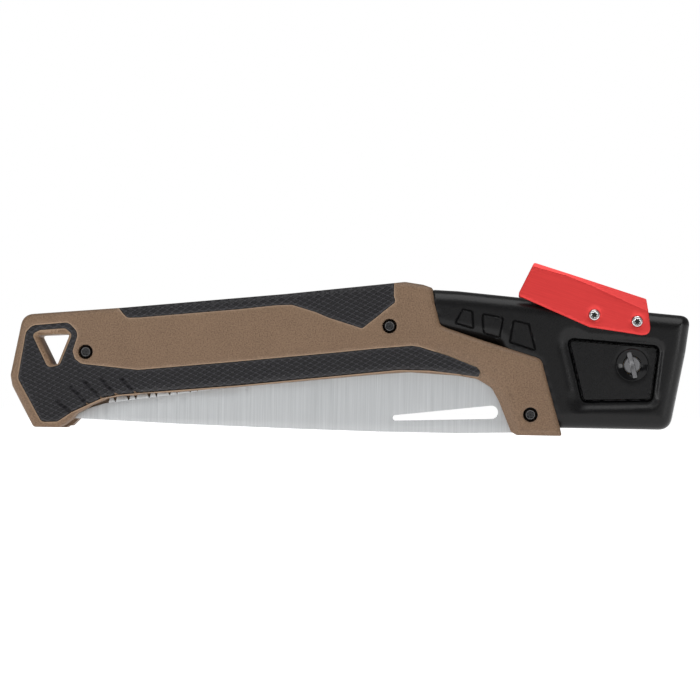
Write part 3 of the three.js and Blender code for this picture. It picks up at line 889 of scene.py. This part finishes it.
def finish_group(tree, **results):
    """Ends a shader group in its outputs, which are values, but for Normal."""
    for label in results:
        kind = "NodeSocketVector" if label == "Normal" else "NodeSocketFloat"
        tree.interface.new_socket(label, in_out="OUTPUT", socket_type=kind)
    add_node(tree, "NodeGroupOutput", results)
    return tree


def object_place(tree):
    return add_node(tree, "ShaderNodeTexCoord").outputs["Object"]


def noise(tree, vector, scale, detail, roughness=0.55):
    inputs = {"Vector": vector, "Scale": scale, "Detail": detail, "Roughness": roughness}
    return add_node(tree, "ShaderNodeTexNoise", inputs).outputs["Fac"]


def blend_colour(tree, factor, a, b):
    inputs = {"Factor": factor, "A": a, "B": b}
    return add_node(tree, "ShaderNodeMix", inputs, data_type="RGBA").outputs["Result"]


def ranged(tree, value, low=0.0, high=1.0, start=0.0, end=1.0):
    """value from start..end mapped to low..high."""
    inputs = {"Value": value, "From Min": start, "From Max": end, "To Min": low, "To Max": high}
    return add_node(tree, "ShaderNodeMapRange", inputs).outputs["Result"]


def maths(tree, operation, *values):
    return add_node(tree, "ShaderNodeMath", dict(enumerate(values)), operation=operation).outputs[0]


def bump(tree, height, strength, reach):
    inputs = {"Height": height, "Strength": strength, "Distance": reach}
    return add_node(tree, "ShaderNodeBump", inputs).outputs[0]


def grain_group():
    """Moulded grain: a fine bump, and a mask of slightly lighter and darker spots."""
    tree, given = shader_group("Moulded grain", {"Scale": 2200.0, "Depth": 0.5})
    place = object_place(tree)
    fine = noise(tree, place, given["Scale"], 2.0)
    broad = noise(tree, place, 60.0, 4.0)
    spots = maths(tree, "MULTIPLY_ADD", fine, 0.88, maths(tree, "MULTIPLY", broad, 0.12))
    mask = ranged(tree, spots, start=0.36, end=0.64)
    return finish_group(tree, Mask=mask, Normal=bump(tree, fine, given["Depth"], 0.00008))


def brushed_group():
    """Straight brush marks along one direction: Stretch is the share of the scale kept along each axis."""
    inputs = {"Turn": 0.0, "Stretch": (1.0, 1.0, 0.02), "Scale": 1500.0, "Depth": 0.2}
    tree, given = shader_group("Brushing", inputs)
    spun = {"Vector": object_place(tree), "Angle": given["Turn"]}
    turn = add_node(tree, "ShaderNodeVectorRotate", spun, rotation_type="Y_AXIS")
    squeezed = {0: turn.outputs[0], 1: given["Stretch"]}
    squeeze = add_node(tree, "ShaderNodeVectorMath", squeezed, operation="MULTIPLY")
    marks = noise(tree, squeeze.outputs[0], given["Scale"], 4.0, 0.6)
    return finish_group(tree, Mask=marks, Normal=bump(tree, marks, given["Depth"], 0.00004))


def dust_group():
    """A sparse mask of fine dust that settles in patches."""
    tree, given = shader_group("Dust", {"Amount": 0.1})
    place = object_place(tree)
    specks = ranged(tree, noise(tree, place, 5200.0, 1.0), start=0.62, end=0.72)
    both = maths(tree, "MULTIPLY", specks, noise(tree, place, 35.0, 3.0))
    return finish_group(tree, Mask=maths(tree, "MULTIPLY", both, given["Amount"]))


def new_material(name):
    material = bpy.data.materials.new(name)
    material.use_nodes = True
    return material, material.node_tree, material.node_tree.nodes["Principled BSDF"].inputs


def use_group(tree, group, **values):
    """A group's node in a material, with its values on its sockets."""
    new = add_node(tree, "ShaderNodeGroup", node_tree=group)
    for label, value in values.items():
        new.inputs[label].default_value = value
    return new.outputs


def plastic(name, groups, dark, light, rough, grain, depth, dust, specular, lightened=None):
    """A moulded plastic or rubber with grain, slight colour variation and a trace of dust.
    rubbed is the lighter colour that its marked points are blended to; on the black screws that is a painted
    highlight ring."""
    material, tree, skin = new_material(name)
    texture = use_group(tree, groups["grain"], Scale=grain, Depth=depth)
    haze = use_group(tree, groups["dust"], Amount=dust)
    base = blend_colour(tree, texture["Mask"], dark, light)
    # Marked points are blended to the lighter colour: a painted highlight ring on the black screws, lighter lips
    # and net lines on the shell and the rubber.
    if lightened:
        lighter_share = add_node(tree, "ShaderNodeAttribute", attribute_name="lightened")
        base = blend_colour(tree, lighter_share.outputs["Fac"], base, lightened)
    look = {
        "Base Color": blend_colour(tree, haze["Mask"], base, (0.55, 0.52, 0.48)),
        "Roughness": ranged(tree, texture["Mask"], *rough),
        "Normal": texture["Normal"],
        "Specular IOR Level": specular,
    }
    fill(tree, skin, look)
    return material


def outer_face(tree, inner, outer):
    """1 where a point is further than outer from the middle plane, 0 where it is nearer than inner."""
    split = add_node(tree, "ShaderNodeSeparateXYZ", {0: object_place(tree)})
    return ranged(tree, maths(tree, "ABSOLUTE", split.outputs["Y"]), start=inner, end=outer)


def metal(name, groups, dark, light, rough, turn=0.0, stretch=(1.0, 1.0, 0.02), scale=1500.0, depth=0.2,
          metallic=1.0, anisotropy=0.0, socket=None):
    """A brushed or polished metal; its marks run along the axis that stretch makes small.
    socket is how far from the middle plane the painted shade in its sockets ends and its bright face begins: the
    sockets' walls and floor are painted dark grey for their shade."""
    material, tree, skin = new_material(name)
    marks = use_group(tree, groups["brush"], Turn=turn, Stretch=stretch, Scale=scale, Depth=depth)
    colour = blend_colour(tree, marks["Mask"], dark, light)
    # Painted shade: the sockets, nearer the middle plane, are painted dark grey.
    if socket:
        colour = blend_colour(tree, outer_face(tree, *socket), (0.09, 0.088, 0.085), colour)
    look = {
        "Base Color": colour,
        "Roughness": ranged(tree, marks["Mask"], *rough),
        "Normal": marks["Normal"],
        "Metallic": metallic,
        "Anisotropic": anisotropy,
    }
    fill(tree, skin, look)
    return material


def plastics(groups):
    return {
        "tan": plastic(
            "Tan shell", groups, (0.116, 0.07, 0.041), (0.2, 0.126, 0.0755), (0.46, 0.6),
            grain=1500.0, depth=1.0, dust=0.02, specular=0.35, lightened=(0.33, 0.225, 0.148),
        ),
        "rubber": plastic(
            "Grip rubber", groups, (0.0055, 0.0053, 0.0062), (0.012, 0.0116, 0.013), (0.42, 0.58),
            grain=2600.0, depth=0.4, dust=0.01, specular=0.29, lightened=(0.032, 0.031, 0.035),
        ),
        "head": plastic(
            "Black housing", groups, (0.002, 0.002, 0.0022), (0.0046, 0.0046, 0.005), (0.25, 0.35),
            grain=2800.0, depth=0.35, dust=0.008, specular=0.24,
        ),
        # The black screw's lighter colour is a painted highlight ring round its head.
        "screw": plastic(
            "Black screw", groups, (0.003, 0.003, 0.0033), (0.006, 0.006, 0.0064), (0.22, 0.34),
            grain=900.0, depth=0.1, dust=0.006, specular=0.26, lightened=(0.11, 0.11, 0.113),
        ),
        "cup": plastic(
            "Glossy cup", groups, (0.0015, 0.0015, 0.0018), (0.003, 0.003, 0.0034), (0.1, 0.16),
            grain=900.0, depth=0.03, dust=0.003, specular=0.2,
        ),
    }


def metals(groups):
    return {
        "hub": metal(
            "Pivot hub", groups, (0.13, 0.13, 0.135), (0.22, 0.22, 0.225), (0.32, 0.45), scale=900.0
        ),
        "brass": metal("Bearing brass", groups, (0.42, 0.27, 0.07), (0.52, 0.34, 0.1), (0.25, 0.4)),
        "steel": metal(
            "Pin steel", groups, (0.32, 0.33, 0.34), (0.45, 0.46, 0.47), (0.22, 0.35),
            stretch=(1.0, 0.02, 1.0),
        ),
        "blade": metal(
            "Blade steel", groups, (0.39, 0.405, 0.415), (0.65, 0.665, 0.675), (0.3, 0.44),
            stretch=(1.0, 1.0, 0.012), scale=1900.0, depth=0.35, anisotropy=0.5,
        ),
        "lever": metal(
            "Red anodised", groups, (0.56, 0.028, 0.027), (0.74, 0.05, 0.047), (0.3, 0.42),
            turn=math.radians(-17.2), stretch=(0.02, 1.0, 1.0), scale=2600.0, depth=0.35, metallic=0.55,
        ),
        # The pins' sockets are painted dark grey for the shade in them.
        "chrome": metal(
            "Polished pin", groups, (0.66, 0.66, 0.67), (0.78, 0.78, 0.79), (0.08, 0.16),
            scale=700.0, depth=0.05, socket=(0.0132, 0.0136),
        ),
    }


def make_materials():
    groups = {"grain": grain_group(), "brush": brushed_group(), "dust": dust_group()}
    return {**plastics(groups), **metals(groups)}


# -------- assembly
def build_handle(mats):
    front, back = shell(SHELL), shell(BACK_SHELL)
    both_sides("tan_shell", front, mats["tan"], "shell", "handle", "tan_shell", shell_edges, back)
    both_sides("upper_rubber", upper_grip(), mats["rubber"], "upper_grip", "handle", "grip_rubber", net)
    both_sides("lower_rubber", lower_grip(), mats["rubber"], "lower_grip", "handle", "grip_rubber", net)
    both_sides("head", head(), mats["head"], "head_housing", "handle", "black_housing")


def build_fasteners(mats):
    scatter = scatter_tree()
    screw = screw_head((0, 0), 3.3, 2.4, 1.4, 12.5, 1.7, 10.5, 0.3)
    pin = screw_head((0, 0), 2.6, 2.3, 0.35, 13.95, 1.5, 11.7)
    shaft = lathe([(0, -11.9), (1.95, -11.9), (1.95, 0), (0, 0)], (0, 0), 24)
    ring, highlight_half = 2.1, 0.3
    for name, body, sign, spots, paint, ride, slot, nodes in (
        ("front_screws", screw, 1, SCREWS, "screw", "handle", "black_screw",
         ("butt_screw", "middle_screw", "front_nose_screw")),
        ("back_screws", screw, -1, SCREWS, "screw", "handle", "black_screw",
         ("butt_nut", "middle_nut", "back_nose_screw")),
        ("front_pins", pin, 1, LEVER_PINS, "chrome", "lever", "pin_chrome",
         ("lever_pivot_pin", "lock_pin")),
        ("back_pins", pin, -1, LEVER_PINS, "chrome", "lever", "pin_chrome",
         ("lever_pivot_pin_screw", "lock_pin_screw")),
    ):
        source = joined(name + "_source", [faced(body, sign), faced(shaft, sign)])
        # Painted highlight: a lighter ring round each head at radius ring, which only the black screws' colour
        # shows.
        away = np.array([math.hypot(v.co.x, v.co.z) / MM for v in source.data.vertices])
        lighten(source, smooth(1 - abs(away - ring) / highlight_half))
        values = {"Source": source, "Material": mats[paint], "Turn": 1.0, "Seed": 4}
        obj = grown(name, scatter, values, [(x, 0, z) for x, z in spots])
        bpy.data.objects.remove(source)
        dress(obj, mats[paint], ride, slot, *nodes)


def build_pivot(mats):
    for side, sign in (("front", 1), ("back", -1)):
        cup = joined(f"pivot_cup_{side}", [pivot_cup(sign)])
        dress(cup, mats["cup"], "handle", "pivot_cup", f"{side}_pivot_cup")
    shaft = lathe([(0, -8.2), (2.95, -8.2), (2.95, 6.2), (0, 6.2)], PIVOT, 32)
    dress(joined("pivot_hub_front", [*pivot_hub(), shaft]), mats["hub"], "handle", "pivot_hub", "pivot_bolt")
    dress(joined("pivot_hub_back", pivot_back()), mats["hub"], "handle", "pivot_hub", "pivot_nut")


def build_blade(mats):
    dress(joined("blade_plate", blade_body()), mats["blade"], "blade", "blade_steel", "saw_blade")
    source = tooth_pair()
    values = {
        "Source": source,
        "Material": mats["blade"],
        "Pairs": TOOTH["pairs"],
        "Start": (TOOTH["first"] * MM, 0, TOOTH["line"] * MM),
        "Step": (TOOTH["pair"] * MM, 0, TOOTH["pair"] * TOOTH["rise"] * MM),
        "Lean": -math.atan(TOOTH["rise"]),
    }
    teeth = grown("blade_teeth", teeth_tree(), values)
    bpy.data.objects.remove(source)
    dress(teeth, mats["blade"], "blade", "blade_steel")


def build_lever(mats):
    side = lever_side()
    body = joined("lever_channel", [side, faced(side, -1), lever_web()])
    dress(body, mats["lever"], "lever", "red_lever", "lock_lever")
    low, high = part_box("lever_spring")
    lift, room, pressed = 0.0005, 0.001, 0.7
    base = ((low.x + high.x) / 2, (low.y + high.y) / 2, low.z + lift)
    values = {
        "Material": mats["steel"],
        "Turns": 7.0,
        "Radius": 0.003,
        "Height": high.z - low.z - room,
        "Wire": 0.00045,
        "Base": base,
    }
    spring = grown("lever_coil", spring_tree(), values)
    dress(spring, mats["steel"], "handle", "spring_steel", "lever_spring")
    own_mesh(spring)


def paint_hidden(frame, mats):
    """The inner CAD pieces keep their own meshes and get a procedural finish."""
    for paint, nodes in (
        ("brass", ("pivot_bushing", "front_pivot_washer", "back_pivot_washer")),
        ("steel", ("open_stop_pin", "closed_stop_pin")),
    ):
        for node in nodes:
            frame["nodes"][node].data.materials.clear()
            frame["nodes"][node].data.materials.append(mats[paint])


# -------- studio
WHITE = (1, 1, 1)


def build_world(scene, strength):
    """An even white room of the given strength, which the camera sees at full white."""
    world = bpy.data.worlds.new("studio")
    world.use_nodes = True
    tree = world.node_tree
    room = tree.nodes["Background"]
    fill(tree, room.inputs, {"Strength": strength, "Color": WHITE})
    backdrop = add_node(tree, "ShaderNodeBackground", {"Color": WHITE})
    seen = add_node(tree, "ShaderNodeLightPath").outputs["Is Camera Ray"]
    choose = add_node(tree, "ShaderNodeMixShader", {0: seen, 1: room.outputs[0], 2: backdrop.outputs[0]})
    fill(tree, tree.nodes["World Output"].inputs, {"Surface": choose.outputs[0]})
    scene.world = world


def build_floor(scene, half):
    """A plain white floor that glows a little, so that it stays as pale as the room."""
    mesh = bpy.data.meshes.new("floor")
    corners = [(-half, -half, 0), (half, -half, 0), (half, half, 0), (-half, half, 0)]
    mesh.from_pydata(corners, [], [(0, 1, 2, 3)])
    floor = bpy.data.objects.new("floor", mesh)
    scene.collection.objects.link(floor)
    white, tree, skin = new_material("Floor")
    fill(tree, skin, {"Base Color": (0.9, 0.9, 0.9), "Roughness": 0.9})
    fill(tree, skin, {"Emission Color": WHITE, "Emission Strength": 0.8})
    mesh.materials.append(white)


def aimed(place, target):
    """The turn that points a lamp or a camera from its place at the target."""
    return (Vector(target) - Vector(place)).to_track_quat("-Z", "Y")


def studio():
    scene = bpy.context.scene
    scene.view_settings.view_transform = "Standard"
    build_world(scene, 0.24)
    build_floor(scene, 6)
    for name, place, size, power in (
        ("key", (-0.45, -1.1, 0.75), 0.7, 2.0),
        ("top", (0.1, -0.3, 1.05), 0.9, 7.2),
        ("side", (1.0, -0.6, 0.12), 0.24, 1.4),
        ("low", (-0.8, -0.6, 0.12), 0.24, 1.6),
    ):
        light = bpy.data.lights.new(name, "AREA")
        light.size = size
        light.energy = power
        lamp = bpy.data.objects.new(name, light)
        lamp.location = place
        lamp.rotation_euler = aimed(place, (0, 0, 0.04)).to_euler()
        scene.collection.objects.link(lamp)


def camera():
    """A long lens from slightly to the right, with the saw a little out of level."""
    data = bpy.data.cameras.new("camera")
    data.sensor_width = 36
    data.lens = 153.95
    obj = bpy.data.objects.new("camera", data)
    place, target, roll = (0.08, -1.5, 0.012), (0.0008, -0.0125, 0.041), math.radians(0.967)
    turn = aimed(place, target).to_matrix().to_4x4()
    obj.matrix_world = Matrix.Translation(place) @ turn @ Matrix.Rotation(roll, 4, "Z")
    bpy.context.scene.collection.objects.link(obj)
    bpy.context.scene.camera = obj


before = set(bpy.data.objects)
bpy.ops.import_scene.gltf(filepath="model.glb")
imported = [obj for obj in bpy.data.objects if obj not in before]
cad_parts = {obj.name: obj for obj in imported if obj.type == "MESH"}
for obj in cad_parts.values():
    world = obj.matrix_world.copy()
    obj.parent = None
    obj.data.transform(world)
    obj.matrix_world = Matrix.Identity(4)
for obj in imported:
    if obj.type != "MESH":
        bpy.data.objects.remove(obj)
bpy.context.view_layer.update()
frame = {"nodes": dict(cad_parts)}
finishes = make_materials()
build_handle(finishes)
build_fasteners(finishes)
build_pivot(finishes)
build_blade(finishes)
build_lever(finishes)
paint_hidden(frame, finishes)
studio()
camera()
